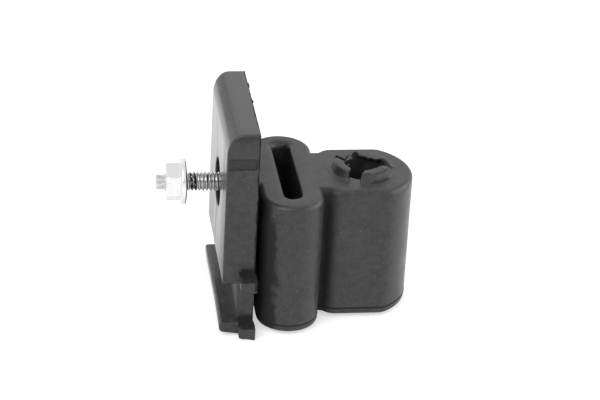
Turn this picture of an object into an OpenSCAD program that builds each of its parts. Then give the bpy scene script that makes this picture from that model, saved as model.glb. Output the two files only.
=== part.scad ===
// Rubber exhaust hanger: a moulded body that hooks round a bracket edge,
// bolts up by one moulded-in stud and carries the pipe's rod in its bore.
// The origin is on the stud's axis, in the face that meets the bracket.
// X runs from the stud towards the bore, Y runs along the slot, Z is up.

/* [Mounting plate] */
// Thickness of the plate, along the stud
plate_t = 11; // [9:0.5:16]
// Width of the plate, across the stud
plate_w = 52.6; // [44:0.2:60]
// Height of the plate's top above the stud
plate_rise = 30.3; // [20:0.1:40]
// Depth of the plate's underside below the stud
plate_drop = 26.5; // [18:0.1:30]
// Reach of the rounding on the plate's upper outer edge, along the stud
plate_round = 5.4; // [2:0.1:8]
// Height of that rounding
plate_fall = 8; // [3:0.1:12]

/* [Hook channel] */
// Thickness of the web that carries the lip
web_t = 6.1; // [4:0.1:8]
// Depth of the hook's underside below the stud
hook_drop = 45.9; // [42:0.1:56]
// Thickness of the lip below the channel, at its root
lip_t = 5.4; // [4:0.1:6]
// Rise of the lip's underside towards its outer edge
lip_rise = 1.6; // [0:0.1:2]
// How far the lip stands out past the plate's face
lip_out = 0.4; // [0.1:0.1:1]
// Width of the lip, wider than the plate
lip_w = 56.4; // [54:0.2:60]
// Radius along the lip's outer edge
lip_round = 1; // [0.4:0.1:1.4]
// Length of each side tab, along the stud
tab_l = 5.2; // [3:0.1:5.6]
// Height of each side tab
tab_h = 4.7; // [3:0.1:6]
// Rise of each side tab's underside along its length
tab_rise = 0.9; // [0:0.1:1.5]
// How far each side tab stands out of the plate's side
tab_out = 5.4; // [3:0.1:8]
// How far the upper tabs reach below the plate's underside
tab_low = 0.9; // [0:0.1:2]

/* [Side recess] */
// Height of the shallow recess in each side of the plate
mark_h = 4.2; // [2:0.1:6]
// Length of the shallow recess
mark_l = 9.6; // [6:0.1:10]
// Height of its middle above the stud
mark_z = 19.3; // [12:0.1:22]
// Depth of the shallow recess
mark_depth = 0.3; // [0.2:0.05:0.8]

/* [Stud and nut] */
// Thread diameter of the stud
stud_d = 6.35; // [5:0.05:8]
// Length of the stud in front of the plate
stud_out = 21.6; // [19:0.1:30]
// Diameter of the plain point
point_d = 5.1; // [3:0.1:5.5]
// Length of the plain point
point_l = 2.9; // [2:0.1:5]
// Diameter of the head that is moulded into the plate
head_d = 22; // [19:0.5:30]
// Thickness of that head
head_t = 2.4; // [1.5:0.1:3]
// Rubber between the recess floor and the head
head_cover = 1.4; // [1:0.1:2]
// Diameter of the open recess round the stud
recess_d = 17.3; // [15.5:0.1:24]
// Depth of that recess
recess_depth = 5; // [3:0.1:5]
// Width of the nut across its flats
nut_flats = 11.1; // [10:0.1:13]
// Height of the nut with its flange
nut_h = 7; // [5:0.1:8]
// Diameter of the nut's flange
flange_d = 16; // [14:0.1:17]
// Thickness of the flange at its rim
flange_rim = 0.9; // [0.6:0.1:1.5]
// Slope of the flange's upper side
flange_slope = 25; // [15:1:35]
// Gap between the nut and the plate's face
nut_gap = 11.3; // [0.5:0.1:12]
// Turn of the nut's corners about the stud
nut_turn = 51; // [0:1:59]
// Radial play between stud and nut
thread_clear = 0.05; // [0.02:0.01:0.15]

/* [Slot block] */
// Gap between the plate and the slot block
front_gap = 2.1; // [1:0.1:6]
// Thickness of the slot block, along the stud
slot_block_t = 21.6; // [18:0.1:26]
// Width of the slot block
slot_block_w = 57.6; // [50:0.2:66]
// Thickness of the slot that runs through it
slot_t = 6.6; // [4.5:0.1:9]
// Wall left at each end of the slot
slot_end_wall = 5; // [4:0.1:8]
// Radius of the slot's upper and lower rim
slot_rim = 0.8; // [0.3:0.1:1.2]

/* [Bore block] */
// Gap between the slot block and the bore block
rear_gap = 0.9; // [0.5:0.1:4]
// Length of the bore block, along the stud
bore_block_l = 32.8; // [30:0.1:40]
// Width of the bore block
bore_block_w = 34.5; // [30:0.1:40]
// Radius of the bore block's corners
bore_block_corner = 6; // [4:0.1:8]
// Radius of the bore block's bowed end
bore_block_bow = 19.7; // [18.5:0.1:26]
// Distance from the bowed end to the bore's axis
bore_back = 17.3; // [15:0.1:20]
// Diameter of the bore for the pipe's rod
bore_d = 16; // [12:0.1:18]

/* [Body heights and edges] */
// Height of both blocks' top above the stud
body_rise = 3.9; // [0:0.1:12]
// Depth of both blocks' underside below the stud
body_drop = 44.7; // [40:0.1:56]
// Radius of the blocks' upper edges
top_round = 2; // [1:0.1:3]
// Radius of the blocks' lower edges
bottom_round = 1.3; // [0.5:0.1:3.5]
// Width of the neck between plate and slot block
front_neck_w = 21; // [14:0.5:30]
// Width of the neck between slot block and bore block
rear_neck_w = 29.6; // [24:0.2:30]

/* [Torn collar] */
// Diameter of the low ring round the collar's foot
collar_ring_d = 24.4; // [23:0.1:26]
// Height of that ring where it meets the wall
collar_ring_h = 0.4; // [0.2:0.1:0.8]
// Diameter of the collar's sloping wall at its foot
collar_wall_d = 22; // [20:0.1:22.8]
// Diameter of the collar's flat crown
collar_crown_d = 19.1; // [18:0.1:19.8]
// Height of the collar above the block
collar_h = 3.1; // [2:0.1:5]
// Thickness of the lip that reaches in over the bore
collar_lip_t = 1.5; // [0.8:0.1:2]
// Height torn off the far piece
far_loss = 0.8; // [0.2:0.1:1]
// Reach of the near piece's lip over the bore
near_reach = 1.6; // [0.3:0.1:3]
// Reach of the far piece's lip over the bore
far_reach = 2; // [0.3:0.1:3]
// Reach of the left piece's lip over the bore
left_reach = 1.2; // [0.3:0.1:3]

/* [Hidden] */
$fn = 96;
// Small overlap that cuts run past the faces they open
over = 1;
// Facets of a full turn in the bowed end, which is drawn as one hull
corner_facets = 32;
bow_facets = 64;
// Levels
body_top = body_rise;
body_bottom = -body_drop;
hook_bottom = -hook_drop;
lip_top = hook_bottom + lip_t;
web_x = plate_t - web_t;
// Slot block
slot_block_x0 = plate_t + front_gap;
slot_block_r = slot_block_t / 2;
slot_block_x = slot_block_x0 + slot_block_r;
slot_block_y = slot_block_w / 2 - slot_block_r;
slot_r = slot_t / 2;
slot_y = slot_block_w / 2 - slot_end_wall - slot_r;
// Bore block
bore_block_x0 = slot_block_x0 + slot_block_t + rear_gap;
bore_block_x1 = bore_block_x0 + bore_block_l;
bore_r = bore_d / 2;
bore_x = bore_block_x1 - bore_back;
corner_y = bore_block_w / 2 - bore_block_corner;
left_corner_x = bore_block_x0 + bore_block_corner;
bow_x = bore_block_x1 - bore_block_bow;
right_corner_x = bow_x + sqrt(pow(bore_block_bow - bore_block_corner, 2) - pow(corner_y, 2));
bow_angle = atan2(corner_y, right_corner_x - bow_x);
// Collar
collar_top = body_top + collar_h;
lip_under_z = collar_top - collar_lip_t;
// The collar's pieces: first angle, last angle, reach over the bore and height torn off
COLLAR = [
    [-101, -20, near_reach, 0],
    [4, 103, far_reach, far_loss],
    [159, 227, left_reach, 0],
];
// Stud
head_x = recess_depth + head_cover;
stud_r = stud_d / 2;
nut_x = -nut_gap - nut_h;
nut_corner_r = nut_flats / 2 / cos(30);
// The hexagon ends inside the flange's rim
hex_h = nut_h - flange_rim / 2;
// Play that keeps the round faces of the nut clear of its flats
nut_face_in = 0.15;
nut_face_r = nut_flats / 2 - nut_face_in;
nut_bevel = 30;
flange_slope_h = (flange_d / 2 - nut_face_r) * tan(flange_slope);
thread_bevel = 0.3;

// Side view of a wall from bottom to top, from the axis out to r,
// with its upper and lower outer edges rounded
module wall_profile(r, top_r, low_r) {
    translate([0, body_bottom + low_r]) square([r, body_drop + body_rise - top_r - low_r]);
    translate([0, body_bottom]) square([r - low_r, low_r + over]);
    translate([0, body_top - top_r - over]) square([r - top_r, top_r + over]);
    intersection() {
        translate([r - low_r, body_bottom + low_r]) circle(low_r);
        translate([0, body_bottom]) square([r, body_drop]);
    }
    intersection() {
        translate([r - top_r, body_top - top_r]) circle(top_r);
        translate([0, body_bottom]) square([r, body_drop + body_rise]);
    }
}

// Rounded wall turned about a corner's axis, from angle a0 to a1
module wall_turn(x, y, r, a0, a1) {
    translate([x, y, 0])
        rotate([0, 0, a0])
            rotate_extrude(angle = a1 - a0) wall_profile(r, top_round, bottom_round);
}

// Rounded wall run straight along X from x0 to x1, on both sides of Y = 0
module wall_run(x0, x1, half_w) {
    for (side = [0, 1])
        mirror([0, side, 0])
            translate([x0, 0, 0])
                rotate([90, 0, 90])
                    linear_extrude(x1 - x0) wall_profile(half_w, top_round, bottom_round);
}

// Side view of the plate, its upper outer edge rounded more in height than in depth
module plate_profile() {
    hull() {
        translate([0, -plate_drop]) square([plate_t, plate_rise + plate_drop - plate_fall]);
        translate([plate_round, -plate_drop])
            square([plate_t - plate_round, plate_rise + plate_drop]);
        translate([plate_round, plate_rise - plate_fall])
            scale([plate_round, plate_fall]) circle(1, $fn = bow_facets);
    }
}

// Side view of the lip, thicker at its root than along its rounded outer edge
module lip_profile() {
    hull() {
        translate([plate_t - over, hook_bottom]) square([over, lip_t]);
        for (z = [hook_bottom + lip_rise + lip_round, lip_top - lip_round])
            translate([lip_round - lip_out, z]) circle(lip_round, $fn = corner_facets);
    }
}

// Side view of a tab with its underside rising away from the blocks
module tab_profile() {
    polygon([[0, tab_rise], [tab_l, 0], [tab_l, tab_h], [0, tab_h]]);
}

// Runs a side view across the plate's middle, w wide in all
module run_across(w) {
    translate([0, w / 2, 0]) rotate([90, 0, 0]) linear_extrude(w) children();
}

// Plate with its web, lip and side tabs
module plate() {
    difference() {
        union() {
            run_across(plate_w) plate_profile();
            run_across(lip_w) lip_profile();
            translate([web_x, -plate_w / 2, lip_top - over])
                cube([web_t, plate_w, -plate_drop - lip_top + 2 * over]);
            for (z = [hook_bottom, -plate_drop - tab_low])
                translate([plate_t - tab_l, 0, z]) run_across(plate_w + 2 * tab_out) tab_profile();
        }
        side_recesses();
    }
}

// Shallow recess in each side of the plate
module side_recesses() {
    for (side = [-1, 1])
        translate([(plate_t - mark_l) / 2, side * plate_w / 2 - mark_depth, mark_z - mark_h / 2])
            cube([mark_l, 2 * mark_depth, mark_h]);
}

// Block with half-round ends that the slot runs through
module slot_block() {
    wall_turn(slot_block_x, slot_block_y, slot_block_r, 0, 180);
    wall_turn(slot_block_x, -slot_block_y, slot_block_r, 180, 360);
    for (side = [0, 1])
        translate([slot_block_x, 0, 0])
            mirror([side, 0, 0])
                translate([0, slot_block_y, 0])
                    rotate([90, 0, 0])
                        linear_extrude(2 * slot_block_y)
                            wall_profile(slot_block_r, top_round, bottom_round);
}

// Outline of half the slot at its rim: the passage widens towards the face
module slot_profile() {
    difference() {
        translate([0, body_bottom - over])
            square([slot_r + slot_rim, body_drop + body_rise + 2 * over]);
        translate([slot_r, body_bottom + slot_rim])
            square([slot_rim + over, body_drop + body_rise - 2 * slot_rim]);
        for (z = [body_bottom + slot_rim, body_top - slot_rim])
            translate([slot_r + slot_rim, z]) circle(slot_rim);
    }
}

// Slot with half-round ends, right through the block
module slot() {
    translate([slot_block_x, slot_y, 0]) rotate_extrude(angle = 180) slot_profile();
    translate([slot_block_x, -slot_y, 0])
        rotate([0, 0, 180]) rotate_extrude(angle = 180) slot_profile();
    for (side = [0, 1])
        translate([slot_block_x, 0, 0])
            mirror([side, 0, 0])
                translate([0, slot_y, 0])
                    rotate([90, 0, 0]) linear_extrude(2 * slot_y) slot_profile();
}

// Bowed end of the bore block, blended into its two far corners
module bowed_end() {
    intersection() {
        hull() {
            for (side = [-1, 1])
                wall_turn(right_corner_x, side * corner_y, bore_block_corner, 0, 360,
                          $fn = corner_facets);
            wall_turn(bow_x, 0, bore_block_bow, -bow_angle, bow_angle, $fn = bow_facets);
        }
        translate([right_corner_x, -bore_block_w, body_bottom - over])
            cube([bore_block_l, 2 * bore_block_w, body_drop + body_rise + 2 * over]);
    }
}

// Block with rounded corners and a bowed end that carries the bore
module bore_block() {
    for (side = [0, 1])
        mirror([0, side, 0])
            wall_turn(left_corner_x, corner_y, bore_block_corner, 90, 180);
    wall_run(left_corner_x, right_corner_x, bore_block_w / 2);
    bowed_end();
}

// Necks that join the plate, the slot block and the bore block
module necks() {
    wall_run(plate_t - over, slot_block_x, front_neck_w / 2);
    wall_run(slot_block_x, bore_x, rear_neck_w / 2);
}

// Section of the collar from the edge of its lip outward. The bore is cut
// out of it later, from below, and leaves the lip reaching in over its mouth
module collar_profile(reach, loss) {
    inner = bore_r - reach;
    polygon([
        [inner, body_top - over],
        [collar_ring_d / 2, body_top - over],
        [collar_ring_d / 2, body_top],
        [collar_wall_d / 2, body_top + collar_ring_h],
        [collar_crown_d / 2, collar_top - loss],
        [inner, collar_top - loss],
    ]);
}

// The pieces that are left of the collar round the bore's mouth
module collar() {
    for (piece = COLLAR)
        translate([bore_x, 0, 0])
            rotate([0, 0, piece[0]])
                rotate_extrude(angle = piece[1] - piece[0])
                    collar_profile(piece[2], piece[3]);
}

// Space that the stud's head and shank fill inside the plate
module stud_seat() {
    rotate([0, 90, 0]) {
        translate([0, 0, -over]) cylinder(h = over + recess_depth, d = recess_d);
        translate([0, 0, recess_depth - over]) cylinder(h = over + head_cover + head_t / 2, d = stud_d);
        translate([0, 0, head_x]) cylinder(h = head_t, d = head_d);
    }
}

module hanger_body() {
    color("#2b2b2b")
        difference() {
            union() {
                plate();
                necks();
                slot_block();
                bore_block();
                collar();
            }
            slot();
            stud_seat();
            translate([bore_x, 0, body_bottom - over])
                cylinder(h = lip_under_z - body_bottom + over, r = bore_r);
        }
}

// Stud with a plain point at one end and a flat round head at the other
module mounting_stud() {
    color("#d9dadb")
        rotate([0, 90, 0]) {
            translate([0, 0, -stud_out]) cylinder(h = point_l + over, d = point_d);
            translate([0, 0, -stud_out + point_l])
                cylinder(h = thread_bevel, d1 = point_d, d2 = stud_d);
            translate([0, 0, -stud_out + point_l + thread_bevel])
                cylinder(h = stud_out - point_l - thread_bevel + head_x + head_t / 2, d = stud_d);
            translate([0, 0, head_x]) cylinder(h = head_t, d = head_d);
        }
}

// Hexagon nut with a sloping flange, its corners bevelled at the free end
module flange_nut() {
    color("#e4e5e6")
        translate([nut_x, 0, 0])
            rotate([0, 90, 0])
                difference() {
                    union() {
                        intersection() {
                            rotate([0, 0, nut_turn])
                                cylinder(h = hex_h, r = nut_corner_r, $fn = 6);
                            cylinder(h = nut_h, r1 = nut_face_r, r2 = nut_face_r + nut_h / tan(nut_bevel));
                        }
                        translate([0, 0, nut_h - flange_rim]) cylinder(h = flange_rim, d = flange_d);
                        translate([0, 0, nut_h - flange_rim - flange_slope_h])
                            cylinder(h = flange_slope_h, r1 = nut_face_r, r2 = flange_d / 2);
                    }
                    translate([0, 0, -over]) cylinder(h = nut_h + 2 * over, r = stud_r + thread_clear);
                }
}

hanger_body();
mounting_stud();
flange_nut();
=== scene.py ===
"""Looks of the rubber exhaust hanger: moulding with its torn collar, rolled stud and flanged nut."""

import logging
import math
from dataclasses import dataclass, field
from functools import reduce
from typing import Any, Callable, Iterable

import bmesh
import bpy
import numpy as np
from mathutils import Matrix, Vector

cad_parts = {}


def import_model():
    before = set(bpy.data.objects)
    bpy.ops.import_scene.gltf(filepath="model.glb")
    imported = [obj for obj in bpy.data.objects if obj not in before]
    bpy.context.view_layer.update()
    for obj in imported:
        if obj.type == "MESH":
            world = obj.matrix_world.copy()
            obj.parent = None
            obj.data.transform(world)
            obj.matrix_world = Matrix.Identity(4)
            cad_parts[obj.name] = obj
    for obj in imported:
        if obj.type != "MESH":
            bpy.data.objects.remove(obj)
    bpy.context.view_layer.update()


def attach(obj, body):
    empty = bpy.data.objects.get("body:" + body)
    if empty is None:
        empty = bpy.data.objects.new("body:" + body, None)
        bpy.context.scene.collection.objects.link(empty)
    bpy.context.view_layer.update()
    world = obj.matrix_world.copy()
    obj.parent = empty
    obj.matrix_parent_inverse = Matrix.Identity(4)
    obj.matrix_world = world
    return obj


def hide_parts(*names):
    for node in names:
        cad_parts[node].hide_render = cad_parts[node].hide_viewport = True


LOG = logging.getLogger("exhaust_hanger")
MM = 0.001
BODY = "root"
COLLAR_X = 50.6
SEAM_Z = -42.1
MARK_PLACE = (5.5, 19.3)
# Each crack beside the collar's flap: the X and Y of its normal, and a point on it from the collar's axis.
CRACKS = ((-0.803, -0.596, -5.25, 5.94), (0.930, -0.366, -5.15, 6.10))
ROUND_FACES = 72
Array = np.ndarray
Field = Callable[[Array, Array, Array], Array]
Triple = tuple[float, float, float]
Curve = tuple[tuple[float, float], ...]


def math_method(operation: str, swapped: bool = False) -> Callable[..., "Tap"]:
    """Makes a method of Tap that adds one Math node.

    Args:
        operation: the node's operation.
        swapped: whether the tap comes second, as in 1 - mask.

    Returns:
        The method.
    """

    def method(tap: "Tap", *others: Any) -> "Tap":
        """The operation's result for the tap and the other value, if there is one."""
        values = (*others, tap) if swapped else (tap, *others)
        return tap.kit.node("ShaderNodeMath", dict(enumerate(values)), operation=operation).tap()

    return method


class Tap:
    """A shader socket that can be used in Python expressions, where each operator adds its node."""

    __add__, __radd__ = math_method("ADD"), math_method("ADD", swapped=True)
    __sub__, __rsub__ = math_method("SUBTRACT"), math_method("SUBTRACT", swapped=True)
    __mul__, __rmul__ = math_method("MULTIPLY"), math_method("MULTIPLY", swapped=True)
    __truediv__, power = math_method("DIVIDE"), math_method("POWER")
    maximum, minimum = math_method("MAXIMUM"), math_method("MINIMUM")
    above, magnitude = math_method("GREATER_THAN"), math_method("ABSOLUTE")
    fraction, sine, cosine = math_method("FRACT"), math_method("SINE"), math_method("COSINE")

    def __init__(self, kit: "NodeKit", socket: Any) -> None:
        self.kit = kit
        self.socket = socket

    def clamped(self) -> "Tap":
        """This value held between 0 and 1."""
        return self.kit.node("ShaderNodeMath", {0: self, 1: 0.0}, operation="ADD", use_clamp=True).tap()

    def ramp(self, low: float, high: float) -> "Tap":
        """A smooth step of this value.

        Args:
            low: the value that gives 0.
            high: the value that gives 1, which may be the smaller one.

        Returns:
            The step, from 0 to 1.
        """
        values = {"Value": self, "From Min": low, "From Max": high, "To Min": 0.0, "To Max": 1.0}
        return self.kit.node("ShaderNodeMapRange", values, interpolation_type="SMOOTHSTEP").tap("Result")

    def step(self, low: float, high: float) -> "Tap":
        """A smooth step between two places in millimetres."""
        return self.ramp(low * MM, high * MM)

    def about(self, middle: float, far: float, near: float) -> "Tap":
        """A band about a place: 0 beyond the far distance and 1 within the near one, in millimetres."""
        return (self - middle * MM).magnitude().step(far, near)


def largest(taps: Iterable[Tap]) -> Tap:
    """The largest of several values."""
    return reduce(Tap.maximum, taps)


class Made:
    """A node that was added, with its outputs at hand."""

    def __init__(self, kit: "NodeKit", node: Any) -> None:
        self.kit = kit
        self.node = node

    def tap(self, name: str | int = 0) -> Tap:
        """One of the node's outputs."""
        return Tap(self.kit, self.node.outputs[name])


class NodeKit:
    """Adds nodes to one tree, shader or geometry."""

    def __init__(self, tree: Any) -> None:
        """Empties the tree and keeps it."""
        self.tree = tree
        tree.nodes.clear()

    def node(self, kind: str, values: dict[Any, Any] | None = None, **settings: Any) -> Made:
        """Adds a node.

        Args:
            kind: the node's type.
            values: a number, colour, tap or node for each input, by name or index.
            settings: its properties, which are set before its inputs.

        Returns:
            The node.
        """
        made = self.tree.nodes.new(kind)
        for name, value in settings.items():
            setattr(made, name, value)
        for name, value in (values or {}).items():
            socket = made.inputs[name]
            if isinstance(value, Made):
                value = value.tap()
            if isinstance(value, Tap):
                self.tree.links.new(value.socket, socket)
            else:
                socket.default_value = value
        return Made(self, made)

    def place(self) -> Tap:
        """Object coordinates, in metres."""
        return self.node("ShaderNodeTexCoord").tap("Object")

    def axes(self, place: Tap) -> tuple[Tap, Tap, Tap]:
        """The three coordinates of a place."""
        split = self.node("ShaderNodeSeparateXYZ", {0: place})
        return split.tap("X"), split.tap("Y"), split.tap("Z")

    def normal(self) -> tuple[Tap, Tap, Tap]:
        """The three coordinates of the way that the surface faces."""
        return self.axes(self.node("ShaderNodeNewGeometry").tap("Normal"))

    def noise(self, place: Tap, look: "Noise") -> Tap:
        """Soft noise about 0.5."""
        values = {"Vector": place, "Scale": look.scale, "Detail": look.detail}
        values |= {"Roughness": look.rough, "Distortion": look.warp}
        return self.node("ShaderNodeTexNoise", values).tap("Fac")

    def stretched(self, place: Tap, factors: Triple, turn: Triple = (0.0, 0.0, 0.0)) -> Tap:
        """A place with its axes stretched and turned, for grain with a direction."""
        return self.node("ShaderNodeMapping", {"Vector": place, "Scale": factors, "Rotation": turn}).tap()

    def mixed(self, share: Any, first: Any, second: Any) -> Tap:
        """Two colours mixed by a share from 0 to 1."""
        return self.node("ShaderNodeMix", {0: share, 6: first, 7: second}, data_type="RGBA").tap(2)

    def bump(self, height: Tap, depth: float, strength: float, under: Made | None = None) -> Made:
        """A bump of a height between 0 and 1, its depth in metres, which may lie over another."""
        values = {"Height": height, "Distance": depth, "Strength": strength}
        return self.node("ShaderNodeBump", values if under is None else {**values, "Normal": under})


def grey(value: float, warmth: float = 0.0) -> tuple[float, float, float, float]:
    """A grey colour, a touch warmer or cooler."""
    return (value * (1 + warmth), value, value * (1 - warmth), 1.0)


@dataclass(frozen=True)
class Noise:
    """How a noise looks: cells in a metre, octaves, how much the small ones count, and distortion."""

    scale: float
    detail: float
    rough: float
    warp: float = 0.0


@dataclass(frozen=True)
class Finish:
    """A finish with a name, whose kind says what its shader reads."""

    name: str

    def shader_values(self, kit: NodeKit) -> dict[str, Any]:
        """What the shader's inputs read; each kind of finish has its own."""
        raise NotImplementedError

    def material(self) -> Any:
        """Builds the material.

        Returns:
            The Blender material.
        """
        made = bpy.data.materials.new(self.name)
        made.use_nodes = True
        kit = NodeKit(made.node_tree)
        shader = kit.node("ShaderNodeBsdfPrincipled", self.shader_values(kit))
        kit.node("ShaderNodeOutputMaterial", {"Surface": shader})
        return made


class RubberMarks:
    """Where the rubber is torn or marked, and where shade is painted into its gaps, corners, creases and
    inner walls, as masks from 0 to 1. Places and distances are in millimetres.
    """

    broad_noise = Noise(110.0, 4.0, 0.6)
    patch_noise = Noise(260.0, 3.0, 0.6)
    flake_noise = Noise(1100.0, 2.0, 0.6)
    tab_tops = (-22.75, -41.0)

    def __init__(self, kit: NodeKit, place: Tap) -> None:
        """Reads the place, the way the surface faces and the noises that break up the masks' edges."""
        self.x, self.y, self.z = kit.axes(place)
        self.side = self.y.magnitude()
        self.facing = kit.normal()
        self.broad = kit.noise(place, self.broad_noise) - 0.5
        self.patch = kit.noise(place, self.patch_noise) - 0.5
        self.flakes = kit.noise(place, self.flake_noise)

    def _plate(self) -> list[Tap]:
        """Painted shade along the plate's back edge by its flash fin, the tabs' torn tops, a band below the
        top and the side marks.

        Returns:
            The masks.
        """
        x, z, side, patch = self.x, self.z, self.side, self.patch
        # Painted shade: the dark rim along the plate's back edge stands in for the gap behind the flash fin.
        flash = (x + patch * 1.6 * MM).step(10.62, 10.78) * x.step(11.6, 11.3) * z.step(-27.0, -26.0)
        flash = flash * side.step(25.6, 26.0).maximum(z.step(29.4, 29.7))
        tabs = side.step(26.0, 26.2) * x.step(12.2, 11.8) * (x + patch * 5.0 * MM).step(5.4, 6.2)
        over = [z - top * MM for top in self.tab_tops]
        tops = largest(h.step(-0.7, -0.3) * (h + patch * 5.0 * MM).step(2.8, 1.2) for h in over)
        tabs = tabs * tops * self.flakes.ramp(0.32, 0.40).maximum(self.facing[2].ramp(0.3, 0.7))
        band = side.step(26.12, 26.26) * (z + self.broad * 4.0 * MM).step(26.6, 29.2) * 0.45
        mark = x.about(MARK_PLACE[0], 5.0, 4.7) * z.about(MARK_PLACE[1], 2.3, 2.0)
        mark = mark * side.step(26.22, 26.1) * side.above(25.0 * MM) * 0.4
        return [flash, tabs, band, mark]

    def _blocks(self) -> list[Tap]:
        """Painted shade along the mould's seam, the plate's painted shadow on the slot block and painted
        shade in the nook between the blocks.

        Returns:
            The masks.
        """
        x, y, z = self.x, self.y, self.z
        # Painted shade: the dark line along the mould's seam stands in for the shade under its ledge.
        seam = (z - SEAM_Z * MM + self.patch * 0.3 * MM).magnitude().step(0.50, 0.14) * x.step(12.6, 13.2)
        # Painted shadow of the plate on the slot block's near face, with a ragged edge.
        plate_shadow = (x + self.broad * 9.0 * MM - z.step(-12.0, -40.0) * 0.8 * MM).step(18.6, 17.0)
        plate_shadow = plate_shadow * x.step(11.4, 12.4) * y.step(-15.0, -21.0) * z.step(0.0, -5.0) * 0.8
        # Painted shade in the concave corner between the slot block and the bore block.
        nook = x.step(42.0, 36.5) * x.above(34.0 * MM) * y.step(-12.0, -15.0) * 0.75
        return [seam, plate_shadow, nook]

    def _collar(self) -> list[Tap]:
        """The far piece's torn end, and painted shade on its inner wall, in the cracks, over the near
        piece's cheek and in its creases.

        Returns:
            The masks.
        """
        y, z = self.y, self.z
        dx = self.x - COLLAR_X * MM
        radius = (dx * dx + y * y).power(0.5)
        across = dx * 0.985 + y * 0.174
        end = across.step(-1.1, -0.7) * across.step(1.4, 0.9) * y.about(8.8, 2.8, 2.3) * z.step(4.0, 4.3)
        # Painted shade on the far piece's inner wall, where it faces the bore.
        inward = 0.0 - (self.facing[0] * dx + self.facing[1] * y) / radius
        slope = inward.ramp(0.15, 0.5) * radius.step(7.5, 7.8) * (dx * 0.62 - y).step(-0.4, 0.2)
        slope = slope * y.step(-0.5, 0.3) * z.step(4.0, 4.4) * dx.above(0.0) * 0.55
        # Painted shade inside the cracks beside the flap.
        sides = [(dx * a + y * b - round(a * u + b * v, 3) * MM).magnitude() for a, b, u, v in CRACKS]
        cracks = sides[0].minimum(sides[1]).step(0.20, 0.08) * y.step(5.7, 5.9) * y.step(8.2, 7.8)
        cracks = cracks * z.step(4.0, 4.2) * dx.step(-3.6, -4.0) * dx.step(-8.2, -7.8)
        near = y.step(0.0, -1.0)
        # Painted shade: darkens the near piece's right wall against the highlight that falls there.
        cheek = near * (dx - 4.0 * MM).step(0.0, 2.0) * radius.step(8.9, 9.5) * z.step(4.3, 4.7) * 0.3
        near = near * dx.step(-2.2, -1.4)
        # Painted shade in the crease under the near piece's crown edge.
        crease = z.about(6.52, 0.24, 0.06) * radius.step(9.0, 9.3) * near * 0.6
        # Painted shade in the concave foot where the near piece meets the block's top.
        foot = z.about(4.16, 0.20, 0.05) * radius.step(10.4, 10.7) * near
        foot = foot * (dx - 1.2 * MM).step(0.0, 0.6) * (dx - 8.8 * MM).step(0.0, -1.6) * 0.7
        return [end, slope, cracks, cheek, crease, foot]

    def strongest(self) -> Tap:
        """The strongest mark at each point."""
        return largest([*self._plate(), *self._blocks(), *self._collar()]).clamped()


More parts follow.
